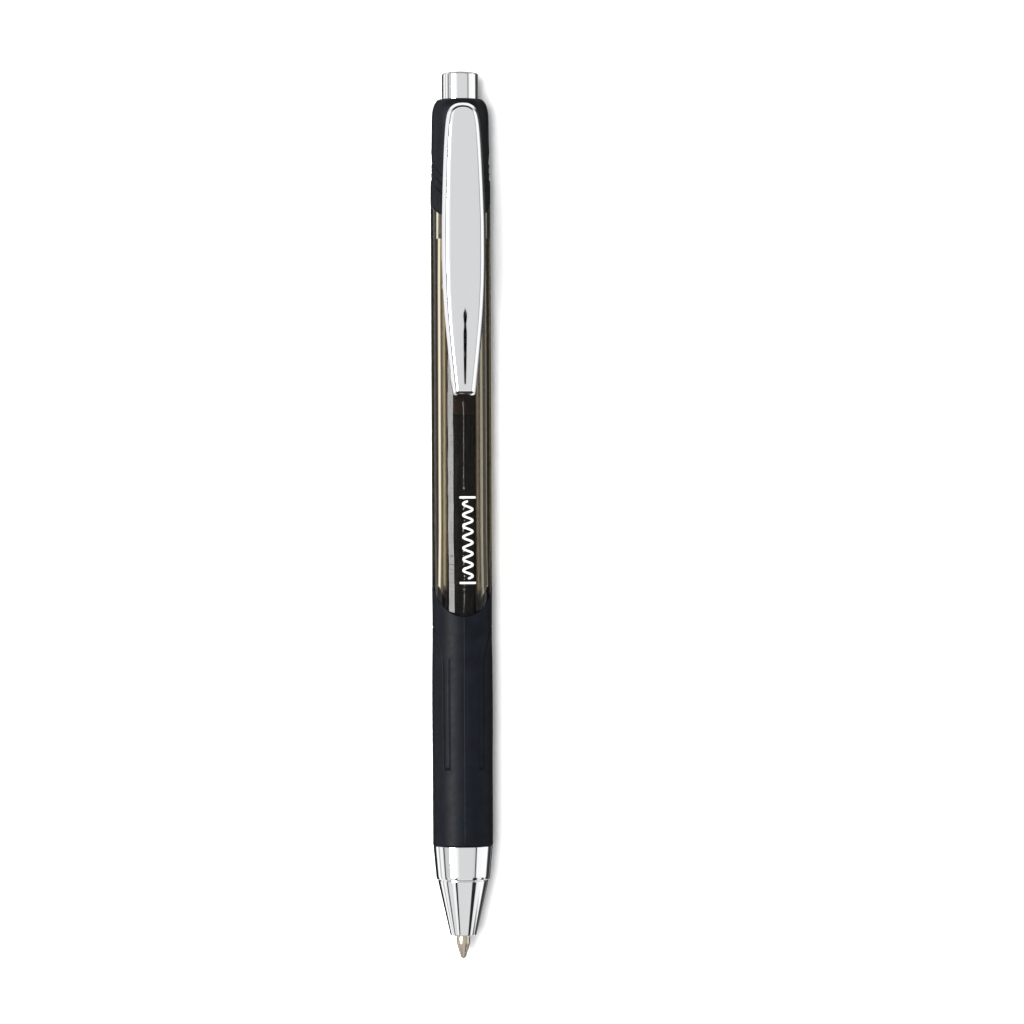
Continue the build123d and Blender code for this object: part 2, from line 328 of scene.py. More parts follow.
def steel_material():
    """Turned steel of the point: fine lathe rings round the axis."""
    material, tree, shader = new_material("turned_steel", Metallic=1.0, Base_Color=(0.60, 0.53, 0.43, 1))
    rings = noise(tree, 0.05, detail=2, stretch=(0.03, 1, 0.03))
    tree.links.new(remap(tree, noise(tree, 0.4), 0.16, 0.28), shader.inputs["Roughness"])
    bump(tree, shader, (rings, 0.0012))
    return material


def rubber_material():
    """Soft black rubber: fine moulded grain, slight bloom, dull broad highlight."""
    material, tree, shader = new_material("grip_rubber_black", Specular_IOR_Level=0.06)
    bloom = noise(tree, 2.2, detail=7)
    colour = mix_colour(tree, remap(tree, bloom, 0, 1), (0.0035, 0.0045, 0.0065), (0.006, 0.0075, 0.0105))
    tree.links.new(colour, shader.inputs["Base Color"])
    tree.links.new(remap(tree, noise(tree, 0.8, detail=6), 0.44, 0.54), shader.inputs["Roughness"])
    bump(tree, shader, (noise(tree, 0.7, detail=3), 0.004), (noise(tree, 0.11, detail=3), 0.0025))
    return material


def soft_touch_material():
    """Satin black coat of the collar."""
    material, tree, shader = new_material("soft_touch_coat", Specular_IOR_Level=0.10)
    cloud = remap(tree, noise(tree, 1.4, detail=6), 0, 1)
    colour = mix_colour(tree, cloud, (0.004, 0.0045, 0.006), (0.0065, 0.0075, 0.0095))
    tree.links.new(colour, shader.inputs["Base Color"])
    tree.links.new(remap(tree, noise(tree, 0.5, detail=5), 0.38, 0.48), shader.inputs["Roughness"])
    bump(tree, shader, (noise(tree, 0.08, detail=3), 0.0015))
    return material


def acetal_material():
    """Black acetal of the cam pieces: slightly glossy moulding with flow marks."""
    material, tree, shader = new_material("black_acetal", Base_Color=(0.012, 0.011, 0.011, 1))
    tree.links.new(remap(tree, noise(tree, 0.6), 0.28, 0.42), shader.inputs["Roughness"])
    bump(tree, shader, (noise(tree, 0.5, detail=4, stretch=(1, 0.2, 1)), 0.003))
    return material


def clear_material(name, colour, roughness, ior, absorb=None, bumps=(), shadow=0.5):
    """Clear or translucent plastic that lamps shine through; absorb is (colour, density per metre)."""
    material, tree, shader = new_material(
        name, Base_Color=(*colour, 1), Roughness=roughness, IOR=ior, Transmission_Weight=1.0,
        Specular_Tint=(0.3, 0.3, 0.3, 1),
    )
    if bumps:
        bump(tree, shader, *[(noise(tree, size, detail=3, stretch=way), depth) for size, way, depth in bumps])
    path = tree.nodes.new("ShaderNodeLightPath")
    clear = tree.nodes.new("ShaderNodeBsdfTransparent")
    clear.inputs["Color"].default_value = (shadow, 0.92 * shadow, 0.8 * shadow, 1)
    mix = tree.nodes.new("ShaderNodeMixShader")
    out = tree.nodes["Material Output"]
    tree.links.new(path.outputs["Is Shadow Ray"], mix.inputs["Fac"])
    tree.links.new(shader.outputs["BSDF"], mix.inputs[1])
    tree.links.new(clear.outputs["BSDF"], mix.inputs[2])
    tree.links.new(mix.outputs["Shader"], out.inputs["Surface"])
    if absorb:
        volume = tree.nodes.new("ShaderNodeVolumeAbsorption")
        volume.inputs["Color"].default_value = (*absorb[0], 1)
        volume.inputs["Density"].default_value = absorb[1]
        tree.links.new(volume.outputs["Volume"], out.inputs["Volume"])
    return material


def ink_material():
    """Black gel ink: opaque, wet, with faint streaks left on the tube."""
    material, tree, shader = new_material("black_gel_ink", Specular_IOR_Level=0.1)
    streaks = noise(tree, 0.8, detail=6, stretch=(1, 0.12, 1))
    colour = mix_colour(tree, remap(tree, streaks, 0, 1), (0.004, 0.003, 0.0025), (0.011, 0.008, 0.006))
    tree.links.new(colour, shader.inputs["Base Color"])
    tree.links.new(remap(tree, streaks, 0.18, 0.32), shader.inputs["Roughness"])
    return material


def scatter_film_material():
    """Thin brown film on the tube's wall behind the ink, painted light: its brown stands in for light scattered
    in the translucent tube.
    """
    material, tree, shader = new_material("painted_scatter_film", Roughness=0.3, Specular_IOR_Level=0.1)
    streaks = noise(tree, 0.7, detail=6, stretch=(1, 0.1, 1))
    colour = mix_colour(tree, remap(tree, streaks, 0, 1), (0.040, 0.015, 0.004), (0.065, 0.026, 0.007))
    tree.links.new(colour, shader.inputs["Base Color"])
    return material


def print_material():
    """White pad printing with thin places."""
    material, tree, shader = new_material("white_pad_print", Roughness=0.5)
    cloud = remap(tree, noise(tree, 0.12, detail=5), 0, 1)
    colour = mix_colour(tree, cloud, (0.72, 0.72, 0.70), (0.86, 0.86, 0.84))
    tree.links.new(colour, shader.inputs["Base Color"])
    bump(tree, shader, (noise(tree, 0.06), 0.002))
    return material


def natural_plastic_material():
    """Natural polypropylene of the adapter."""
    material, tree, shader = new_material("natural_polypropylene", Subsurface_Weight=0.25)
    shader.inputs["Subsurface Radius"].default_value = (0.0008, 0.0007, 0.0005)
    colour = mix_colour(tree, remap(tree, noise(tree, 1.0), 0, 1), (0.70, 0.68, 0.62), (0.80, 0.78, 0.73))
    tree.links.new(colour, shader.inputs["Base Color"])
    tree.links.new(remap(tree, noise(tree, 0.5), 0.32, 0.45), shader.inputs["Roughness"])
    return material


CHROME = chrome_material()
STEEL = steel_material()
RUBBER = rubber_material()
SOFT_TOUCH = soft_touch_material()
ACETAL = acetal_material()
INK = ink_material()
# painted scattered light: brown film for the lit translucent tube above the ink
SCATTER_FILM = scatter_film_material()
PRINT = print_material()
NATURAL = natural_plastic_material()
SMOKE = clear_material(
    "smoke_brown_plastic", (1.0, 1.0, 1.0), 0.0, 1.56, absorb=((0.70, 0.52, 0.05), 200.0),
    bumps=((6.0, (1, 0.3, 1), 0.003),), shadow=0.12,
)
TUBE = clear_material("translucent_tube", (0.93, 0.90, 0.84), 0.03, 1.49, absorb=((0.55, 0.45, 0.30), 1200.0))
GREASE = clear_material("follower_grease", (0.9, 0.84, 0.62), 0.2, 1.46, absorb=((0.9, 0.8, 0.4), 200.0))


# ---------------------------------------------------------------------------
# The pen's pieces
# ---------------------------------------------------------------------------
def scallop_edge(across, centre, radius):
    """Station of a scalloped edge at a distance across the pen."""
    inside = np.clip(radius**2 - across**2, 0, None)
    return np.where(np.abs(across) < radius, centre - np.sqrt(inside), centre)


def notch_edge(across):
    """Station of the oval edge between grip and barrel at a distance across the pen."""
    return NOTCH_CENTRE - NOTCH_DEPTH * np.sqrt(np.clip(1 - (across / NOTCH_HALF) ** 2, 0, 1))


SEAM_RIDGE = 0.045             # height of the mould seams


def mould_seam(angles, height=SEAM_RIDGE, width=0.07):
    """Fine ridge where the two halves of a mould met, on the clip side and opposite."""
    fold = np.abs((np.asarray(angles) + math.pi / 2) % math.pi - math.pi / 2)
    return height * np.exp(-((fold * BODY_R / width) ** 2))


def make_barrel():
    """Clear tube from the grip's oval edge to the collar's scalloped one, with reduced necks under both."""
    edge_round = 0.09
    angles = ring_angles(
        240, dense=((0, 2.4, 0.2), (180, 2.4, 0.2)), extra=scallop_angles(NOTCH_HALF, BODY_R)
    )
    columns = []
    for angle, ridge in zip(angles, mould_seam(angles)):
        across = BODY_R * math.sin(angle)
        front = float(notch_edge(across)) + SEAM_GAP
        back = float(scallop_edge(across, COLLAR_CENTRE, COLLAR_SCALLOP + SEAM_GAP))
        skin = BODY_R + ridge - SEAM_RIDGE
        outline = rounded(
            (3.25, 13.9), (3.85, 13.9, 0.2), (3.85, GRIP_FRONT + 0.1), (NECK_R, GRIP_FRONT + 0.1),
            (NECK_R, front), (skin, front, edge_round), (skin, 70.0), (skin, 90.0), (skin, 110.0),
            (skin, back, edge_round), (NECK_R, back), (NECK_R, 128.0), (SEAT_R, 128.0), (SEAT_R, SEAT_FRONT),
            (BORE_R, SEAT_FRONT), (BORE_R, 90.0), (BORE_R, 70.0), (BORE_R, 56.0, 3.0), (3.25, 52.0, 3.0),
        )
        columns.append(turned(outline, [angle])[0])
    mesh = grid_mesh("barrel_shell", np.array(columns))
    return finish_mesh("barrel_shell", mesh, "barrel", SMOKE, ["barrel"])


def make_grip():
    """Rubber sleeve: gentle belly, oval back edge, mould seam on top and the sunk panel lines."""
    panel_sides = (-150, -138, -42, -30, 30, 42, 138, 150)
    columns = ring_angles(
        360,
        dense=[(0, 2.4, 0.3), (180, 2.4, 0.3)] + [(line, 2.5, 0.5) for line in panel_sides],
        extra=scallop_angles(NOTCH_HALF, GRIP_R),
    )
    share = np.concatenate([
        np.linspace(0, 0.012, 8, endpoint=False),
        np.linspace(0.012, 0.988, 330, endpoint=False),
        np.linspace(0.988, 1, 8),
    ])
    angle, share = np.meshgrid(columns, share, indexing="ij")
    front_radius = 4.91
    edge = notch_edge(front_radius * np.sin(angle))
    along = GRIP_FRONT + share * (edge - GRIP_FRONT)
    radius = smooth_through(
        along, (18.5, 30.5, 41.5, 48.2, 52.8, 56.0, 59.2),
        (front_radius, 4.912, 4.97, 4.935, 4.872, 4.872, 4.91),
    )
    line_depth, line_width = 0.22, 0.13
    radius -= line_depth * panel_line(angle, along, line_width)
    lip = 0.22
    near = np.minimum(along - GRIP_FRONT, edge - along)
    radius -= lip - np.sqrt(np.clip(lip**2 - np.clip(lip - near, 0, None) ** 2, 0, None))
    radius = np.minimum(radius, GRIP_R)
    flat = AXIS_Z / MM
    height = np.clip(radius * np.cos(angle), -flat, flat)
    height += mould_seam(angle) * (along > GRIP_FRONT + 0.4) * (height > 0)
    outer = np.stack([radius * np.sin(angle), along, height], axis=-1)
    ends = []
    for row in (-1, 0):
        a, t = angle[:, row], along[:, row]
        ends.append(np.stack([NECK_R * np.sin(a), t, NECK_R * np.cos(a)], axis=-1)[:, None])
    mesh = grid_mesh("grip_rubber", np.concatenate([outer, *ends], axis=1))
    return finish_mesh("grip_rubber", mesh, "barrel", RUBBER, ["grip_sleeve"], sharp=60)


def panel_line(angle, along, width):
    """Depth, 0 to 1, of the sunk lines that frame a narrow panel on each quarter of the grip."""
    fold = np.abs((angle + math.pi) % (2 * math.pi) - math.pi)
    fold = np.where(fold > math.pi / 2, math.pi - fold, fold)
    bottom, top = 31.2, 49.0
    corners = [(90.0, 54.4), (74.0, 54.0), (62.0, 53.0), (52.5, 51.4), (46.0, 49.8), (42.6, 48.0), (42.0, 46.5)]
    outer = [(math.radians(a) * BODY_R, t) for a, t in corners]
    far, near = math.radians(42) * BODY_R, math.radians(30) * BODY_R
    outer += [(far, bottom), (near, bottom)]
    inner = [(near, bottom), (near, top)]
    around = fold * BODY_R
    line = np.exp(-((distance_to_path(around, along, outer) / width) ** 2))
    faint = 0.45 * np.exp(-((distance_to_path(around, along, inner) / width) ** 2))
    return np.maximum(line, faint)


def make_nose():
    """Chrome cone with its lip, step and flared band."""
    outline = rounded(
        (1.25, 3.8), (2.1, 3.8, 0.22), (2.17, 4.12), (4.12, 12.78, 0.05), (3.96, 12.86), (3.96, 12.98),
        (4.29, 12.98, 0.2), (4.40, 13.5, 0.3), (4.86, GRIP_FRONT - SEAM_GAP, 0.08),
        (4.0, GRIP_FRONT - SEAM_GAP), (4.0, 13.6), (2.7, 13.6), (2.7, 9.5), (1.85, 9.5), (1.85, 5.3),
        (1.25, 5.1),
    )
    return lathe("nose_shell", outline, "barrel", CHROME, ["nose_cone"], steps=256, sharp=30)


def make_collar():
    """Black end piece with a rounded shoulder, a scalloped front edge and three sunk chevrons a side."""
    columns = ring_angles(300, extra=scallop_angles(COLLAR_SCALLOP, BODY_R, 60))
    share = np.concatenate([
        np.linspace(0, 0.012, 5, endpoint=False),
        np.linspace(0.012, 0.6, 150, endpoint=False),
        np.linspace(0.6, 0.84, 24, endpoint=False),
        np.linspace(0.84, 1, 60),
    ])
    angle, share = np.meshgrid(columns, share, indexing="ij")
    front = scallop_edge(BODY_R * np.sin(angle), COLLAR_CENTRE, COLLAR_SCALLOP)
    shoulder, rim = 136.4, 3.45
    depth = COLLAR_BACK - shoulder
    along = front + share * (COLLAR_BACK - 0.001 - front)
    side = smooth_through(
        along, (118, 123.3, 129.8, 131.6, 133.7, shoulder), (4.91, 4.905, 4.825, 4.765, 4.70, 4.665)
    )
    up = np.clip((along - shoulder) / depth, 0, 1)
    radius = np.where(along < shoulder, side, rim + 1.215 * (1 - up**3) ** 0.62)
    lip = 0.10
    near = along - front
    radius -= lip - np.sqrt(np.clip(lip**2 - np.clip(lip - near, 0, None) ** 2, 0, None))
    across = BODY_R * np.abs(np.sin(angle))
    groove_width, groove_depth, hole, least = 0.14, 0.18, 3.03, 3.05
    for centre in (128.7, 130.2, 131.6):
        miss = np.abs(np.hypot(across, along - centre) - CHEVRON_R)
        groove = np.exp(-((miss / groove_width) ** 4)) * (along < centre)
        groove *= np.clip((across - 2.9) / 0.3, 0, 1)
        radius -= groove_depth * groove
    radius = np.maximum(radius, least)
    outer = np.stack([radius * np.sin(angle), along, radius * np.cos(angle)], axis=-1)
    inside = [(hole, COLLAR_BACK), (hole, 131.5), (3.8, 131.5), (3.8, 128.1), (NECK_R, 128.1)]
    rings = [np.broadcast_to(np.array(p), (len(columns), 2)) for p in inside]
    rings.append(np.stack([np.full(len(columns), NECK_R), along[:, 0]], axis=-1))
    walls = [
        np.stack([ring[:, 0] * np.sin(columns), ring[:, 1], ring[:, 0] * np.cos(columns)], axis=-1)[:, None]
        for ring in rings
    ]
    mesh = grid_mesh("collar_shell", np.concatenate([outer, *walls], axis=1))
    piece = finish_mesh(
        "collar_shell", mesh, "barrel", SOFT_TOUCH, ["rear_collar"], sharp=50
    )
    cut_recess(piece)
    return piece


CLIP_PIVOT = 135.2             # station of the clip's foot
FOOT_HALF_WIDTH, FOOT_HALF_LENGTH = 1.25, 2.7


def box_mesh(name, half_width, front, back, low, high, bevel=0.0):
    """Box with softened edges, given by stations and heights over the axis in millimetres."""
    bm = bmesh.new()
    bmesh.ops.create_cube(bm, size=1.0)
    size = Matrix.Diagonal((2 * half_width * MM, (back - front) * MM, (high - low) * MM, 1))
    centre = Vector((0, TIP_Y + 0.5 * (front + back) * MM, AXIS_Z + 0.5 * (low + high) * MM))
    bmesh.ops.transform(bm, matrix=Matrix.Translation(centre) @ size, verts=bm.verts)
    if bevel:
        bmesh.ops.bevel(bm, geom=bm.edges, offset=bevel * MM, segments=3, affect="EDGES")
    mesh = bpy.data.meshes.new(name)
    bm.to_mesh(mesh)
    bm.free()
    return mesh


def cut_recess(piece):
    """Cuts the seat of the clip's foot out of the collar."""
    margin = 0.3
    mesh = box_mesh(
        "recess_cutter", FOOT_HALF_WIDTH + 0.25, CLIP_PIVOT - FOOT_HALF_LENGTH - margin,
        CLIP_PIVOT + FOOT_HALF_LENGTH + margin, 3.9, 6.0,
    )
    cutter = add_object("recess_cutter", mesh)
    cut = piece.modifiers.new("recess", "BOOLEAN")
    cut.object = cutter
    cut.operation = "DIFFERENCE"
    cut.solver = "EXACT"
    bpy.context.view_layer.update()
    result = bpy.data.meshes.new_from_object(piece.evaluated_get(bpy.context.evaluated_depsgraph_get()))
    piece.modifiers.clear()
    piece.data = result
    bpy.data.objects.remove(cutter)


def make_button():
    """Chrome cap with a small rounded rim."""
    outline = rounded(
        (0, LENGTH), (1.2, LENGTH - 0.04), (2.2, LENGTH - 0.15), (2.95, LENGTH - 0.34, 0.3), (2.95, 133.1),
        (2.5, 133.1), (2.5, LENGTH - 0.8), (0, LENGTH - 0.8), steps=8,
    )
    return lathe("button_cap", outline, "button", CHROME, ["push_button"], steps=192)


# Clip: outline stations with half widths, then the profile of its face and of its side walls' edge
CLIP_WIDTH = (
    (91.92, 1.20), (91.98, 1.46), (92.15, 1.70), (92.45, 1.83), (93.0, 1.91), (93.9, 2.02), (95.8, 2.24),
    (98.0, 2.48), (101.0, 2.80), (104.0, 3.08), (107.0, 3.30), (111.0, 3.48), (115.0, 3.55), (119.0, 3.55),
    (123.3, 3.46), (129.8, 3.22), (133.1, 3.05), (135.8, 2.84), (137.0, 2.68), (137.9, 2.48), (138.4, 2.25),
    (138.8, 1.94), (139.1, 1.55), (139.3, 1.15), (139.42, 0.75), (139.48, 0.38), (139.5, 0.02),
)
CLIP_FACE = (
    (91.0, 7.40), (94.6, 7.52), (98.0, 7.64), (102.0, 7.80), (106.0, 7.98), (109.0, 8.02), (112.0, 8.05),
    (115.0, 8.02), (119.2, 7.95), (123.3, 7.75), (129.8, 7.30), (134.0, 7.00), (136.6, 6.82), (138.0, 6.68),
    (139.5, 6.50),
)
CLIP_EDGE = (
    (91.0, 5.05), (92.6, 5.05), (93.3, 6.3), (94.4, 6.85), (100.0, 6.95), (107.0, 6.85), (111.0, 6.0),
    (115.0, 5.15), (119.2, 4.5), (123.3, 4.2), (129.8, 4.15), (134.0, 4.2), (136.8, 4.45), (138.4, 4.98),
    (139.5, 4.9),
)
CLIP_MARGIN = 0.62             # width of the rolled margin
CLIP_CROWN = 13.0              # radius of the face across the clip
CLIP_LEAN = math.radians(52)   # how steeply the margin falls
CLIP_FILLET = 0.28             # rounding between the face and the margin
CLIP_WALL = 0.42


def make_clip():
    """Pressed chrome clip: crowned face, rolled margins, side walls that deepen towards the collar."""
    outline = np.array(CLIP_WIDTH)
    stations = np.concatenate([
        np.linspace(CLIP_WIDTH[0][0], 92.6, 18, endpoint=False), np.linspace(92.6, 96.0, 22, endpoint=False),
        np.linspace(96.0, 135.5, 90, endpoint=False), np.linspace(135.5, CLIP_WIDTH[-1][0], 60),
    ])
    width = smooth_through(stations, outline[:, 0], outline[:, 1])
    face = smooth_through(stations, *zip(*CLIP_FACE))
    edge = smooth_through(stations, *zip(*CLIP_EDGE))
    margin = np.concatenate([[0, 0.03, 0.08, 0.15, 0.24, 0.34], np.linspace(0.42, 0.86, 12), [0.95, 1.05, 1.2]])
    full_margin = 1.6          # half width below which the margin's columns are closer
    share = np.minimum(1, width / full_margin)[:, None]
    side = width[:, None] - margin[None, :] * share
    middle = side[:, -1:] * np.linspace(1, -1, 37)[None, 1:-1]
    across = -np.concatenate([side, middle, -side[:, ::-1]], axis=1)
    along = np.repeat(stations[:, None], across.shape[1], axis=1)
    border = [(w, t) for t, w in zip(stations, width)]
    rim = border + [(-w, t) for w, t in reversed(border)]
    rim.append(border[0])
    inset = distance_to_path(across, along, rim)
    top = face[:, None] - across**2 / (2 * CLIP_CROWN)
    top -= margin_drop(inset)
    skin = np.stack([across, along, top], axis=-1)
    walls = []
    for side in (0, -1):
        foot = skin[:, side].copy()
        foot[:, 2] = np.minimum(edge, foot[:, 2] - 0.05)
        middle = 0.5 * (foot + skin[:, side])
        walls.append((foot, middle))
    rows = np.concatenate([
        walls[0][0][:, None], walls[0][1][:, None], skin, walls[1][1][:, None], walls[1][0][:, None]
    ], axis=1)
    low = rows[:1].copy()
    low[..., 2] = np.minimum(low[..., 2], edge[0])
    rows = np.concatenate([low, rows], axis=0)
    mesh = grid_mesh("clip_plate", rows, close_columns=False, close_rows=False)
    piece = finish_mesh("clip_plate", mesh, "clip", CHROME, ["clip"], sharp=60)
    thick = piece.modifiers.new("thickness", "SOLIDIFY")
    thick.thickness = CLIP_WALL * MM
    thick.offset = -1.0
    foot = box_mesh(
        "clip_foot", FOOT_HALF_WIDTH, CLIP_PIVOT - FOOT_HALF_LENGTH, CLIP_PIVOT + FOOT_HALF_LENGTH, 4.2, 6.5,
        bevel=0.12,
    )
    finish_mesh("clip_foot", foot, "clip", CHROME)
    return piece


def margin_drop(inset):
    """Fall of the clip's bent margin below its face, by the distance in from the outline."""
    half_slope = 0.5 * math.tan(CLIP_LEAN)
    past = CLIP_MARGIN - inset
    rounded_fall = past + np.sqrt(past**2 + CLIP_FILLET**2)
    return half_slope * rounded_fall - half_slope * CLIP_FILLET**2 / (2 * CLIP_MARGIN)


def make_point():
    """Metal point with its socket lip, and the ball in it."""
    outline = rounded(
        (0.31, 0.22), (0.44, 0.24, 0.04), (1.08, 2.5, 0.25), (1.1, 2.7), (1.1, 6.95), (0.93, 6.95),
        (0.93, 10.5), (0.2, 10.5), (0.2, 0.75), (0.36, 0.55),
    )
    lathe("point_body", outline, "refill", STEEL, ["ballpoint_tip"], steps=96)
    ball = bpy.data.meshes.new("point_ball")
    bm = bmesh.new()
    ball_centre = 0.35
    radius = radius_of("writing_ball") * MM
    bmesh.ops.create_uvsphere(bm, u_segments=48, v_segments=24, radius=radius)
    bmesh.ops.translate(bm, vec=(0, TIP_Y + ball_centre * MM, AXIS_Z), verts=bm.verts)
    bm.to_mesh(ball)
    bm.free()
    finish_mesh("point_ball", ball, "ball", CHROME, ["writing_ball"])


def make_refill():
    """Ink tube, its ink and the painted brown film above the ink."""
    tube = rounded((2.65, 25.0), (3.1, 25.0, 0.05), (3.1, 109.5, 0.05), (2.65, 109.5), steps=3)
    lathe("refill_body", tube, "refill", TUBE, ["refill_tube"], steps=192)
    level = back_of("ink_column")
    ink = rounded((0, 29.05), (2.63, 29.05), (2.63, level), (0, level))
    lathe("ink_fill", ink, "refill", INK, ["ink_column"], steps=128)
    # brown film painted over the tube's wall above the ink, standing in for light scattered in the translucent
    # tube
    film = rounded((2.625, level + 0.05), (2.645, level + 0.05), (2.645, 105.4), (2.625, 105.4))
    lathe("painted_scatter_film", film, "refill", SCATTER_FILM, steps=96)


def make_spring():
    """Round wire coil with closed end turns."""
    low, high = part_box("return_spring")
    start, end = station(low[1]) + 0.2, station(high[1]) - 0.2
    turns, coil, wire = 9.0, 2.35, 0.2
    steps = int(turns * 40)
    share = np.linspace(0, 1, steps + 1)
    turn = 2 * math.pi * turns * share
    closed = 0.06
    lift = np.clip((share - closed) / (1 - 2 * closed), 0, 1)
    middle = np.stack([coil * np.sin(turn), start + (end - start) * lift, coil * np.cos(turn)], axis=-1)
    out = np.stack([np.sin(turn), np.zeros_like(turn), np.cos(turn)], axis=-1)
    up = np.array([0, 1.0, 0])
    sides = np.linspace(0, 2 * math.pi, 12, endpoint=False)
    rows = [middle + wire * (math.cos(a) * out + math.sin(a) * up) for a in sides]
    mesh = grid_mesh("spring_coil", np.stack(rows), close_rows=False)
    bm = bmesh.new()
    bm.from_mesh(mesh)
    bmesh.ops.holes_fill(bm, edges=[e for e in bm.edges if e.is_boundary], sides=0)
    bm.to_mesh(mesh)
    bm.free()
    mesh.polygons.foreach_set("use_smooth", [True] * len(mesh.polygons))
    mesh.materials.append(STEEL)
    piece = add_object("spring_coil", mesh)
    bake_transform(piece)
    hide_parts("return_spring")


def make_print():
    """Generic white print on the barrel: one waved pen stroke between two short bars."""
    radius = BODY_R + 0.012
    front, back = 62.2, 74.8
    along = np.linspace(front, back, 280)
    aside, swing, pitch, half_line = 0.62, 0.78, 1.8, 0.17
    wave = aside + swing * np.sin((along - front) * 2 * math.pi / pitch)
    strokes = [np.stack([wave, along], axis=-1)]
    for end in (front - 0.7, back + 0.6):
        strokes.append(np.stack([np.linspace(-0.75, 1.95, 12), np.full(12, end)], axis=-1))
    for number, line in enumerate(strokes):
        ahead = np.gradient(line, axis=0)
        side = np.stack([-ahead[:, 1], ahead[:, 0]], axis=-1) / np.hypot(*ahead.T)[:, None]
        flat = np.stack([line + half_line * k * side for k in (-1, 0, 1)])
        angle = flat[..., 0] / radius
        points = np.stack([radius * np.sin(angle), flat[..., 1], radius * np.cos(angle)], axis=-1)
        name = f"print_stroke_{number + 1}"
        mesh = grid_mesh(name, points, close_columns=False, close_rows=False)
        finish_mesh(name, mesh, "barrel", PRINT)


def repaint(node, material):
    """Gives a CAD node that stays a better material."""
    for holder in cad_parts[node].material_slots:
        holder.material = material


make_barrel()
make_grip()
make_nose()
make_collar()
make_clip()
make_button()
make_point()
make_refill()
make_spring()
make_print()
for node in ("cam_plunger", "cam_rotor", "cam_guide"):
    repaint(node, ACETAL)
repaint("refill_end_plug", NATURAL)
repaint("tip_holder", NATURAL)
repaint("ink_follower", GREASE)


# ---------------------------------------------------------------------------
# Floor, light and camera
# ---------------------------------------------------------------------------
def make_floor():
    """Plain white surface that the pen lies on."""
    material, tree, shader = new_material("white_paper", Roughness=0.8, Specular_IOR_Level=0.2)
    cloud = remap(tree, noise(tree, 3.0, detail=6), 0, 1)
    colour = mix_colour(tree, cloud, (0.90, 0.90, 0.90), (0.915, 0.915, 0.915))
    tree.links.new(colour, shader.inputs["Base Color"])
    bm = bmesh.new()
    bmesh.ops.create_grid(bm, x_segments=1, y_segments=1, size=2.0)
    mesh = bpy.data.meshes.new("floor")
    bm.to_mesh(mesh)
    bm.free()
    mesh.materials.append(material)
    floor = add_object("floor", mesh)
    floor.visible_glossy = False
    floor.visible_transmission = False


COOL = 1.005                   # blue of the studio's greys, against their red and green


def level_ramp(tree, bands, low, high):
    """Colour ramp of grey levels given as (value, level), from low to high, and its input and output."""
    turn = tree.nodes.new("ShaderNodeMapRange")
    turn.inputs["From Min"].default_value = low
    turn.inputs["From Max"].default_value = high
    ramp = tree.nodes.new("ShaderNodeValToRGB")
    tree.links.new(turn.outputs["Result"], ramp.inputs["Fac"])
    elements = ramp.color_ramp.elements
    elements[0].position = 0.0
    elements[1].position = 1.0
    for stop, (_, level) in zip(elements, (bands[0], bands[-1])):
        stop.color = (level, level, level, 1)
    for value, level in bands[1:-1]:
        stop = elements.new((value - low) / (high - low))
        stop.color = (level, level, level * COOL, 1)
    return turn.inputs["Value"], ramp.outputs["Color"]


def end_walls(tree, split, sides):
    """Studio seen towards the pen's two ends: pale ceiling, dark band above the horizon, white below it."""
    # height of the direction, -1 to 1: light level
    bands = (
        (-1, 0.9), (-0.5, 1.0), (-0.2, 1.05), (-0.13, 0.04), (0.56, 0.04), (0.66, 0.95), (0.8, 0.8), (1, 0.72),
    )
    value, ends = level_ramp(tree, bands, -1, 1)
    tree.links.new(split.outputs["Z"], value)
    endwise = math_node(tree, "ABSOLUTE")
    tree.links.new(split.outputs["Y"], endwise.inputs[0])
    share = remap(tree, endwise.outputs["Value"], 0.0, 1.0, start=0.5, end=0.72)
    return mix_linked(tree, share, sides, ends)


def nose_walls(tree, split, degrees, sides):
    """Studio seen in the nose cone: two dark gaps between pale walls."""
    # degrees from overhead, towards +X: light level
    bands = (
        (-180, 0.9), (-95, 0.9), (-90, 0.1), (-84, 0.1), (-80, 0.8), (-62, 0.72), (-56, 0.95), (-44, 1.0),
        (-41, 0.02), (-34, 0.02), (-31, 0.72), (38, 0.74), (42, 0.02), (60, 0.02), (63, 0.85), (78, 0.95),
        (84, 0.9), (88, 0.04), (104, 0.04), (110, 0.9), (180, 0.9),
    )
    value, walls = level_ramp(tree, bands, -180, 180)
    tree.links.new(degrees.outputs["Value"], value)
    share = remap(tree, split.outputs["Y"], 1.0, 0.0, start=-0.37, end=-0.32)
    return mix_linked(tree, share, sides, walls)


def unlit_inside(tree, split, sky):
    """Takes most of the light from above away inside the clear barrel, where it only makes faint ghosts."""
    path = tree.nodes.new("ShaderNodeLightPath")
    inside = math_node(tree, "MINIMUM")
    inside.inputs[1].default_value = 1.0
    tree.links.new(path.outputs["Transmission Depth"], inside.inputs[0])
    share = math_node(tree, "MULTIPLY")
    tree.links.new(inside.outputs["Value"], share.inputs[0])
    tree.links.new(remap(tree, split.outputs["Z"], 0.0, 0.93, start=-0.15, end=0.05), share.inputs[1])
    mix = tree.nodes.new("ShaderNodeMix")
    mix.data_type = "RGBA"
    mix.inputs["B"].default_value = (0, 0, 0, 1)
    tree.links.new(share.outputs["Value"], mix.inputs["Factor"])
    tree.links.new(sky, mix.inputs["A"])
    return mix.outputs["Result"]


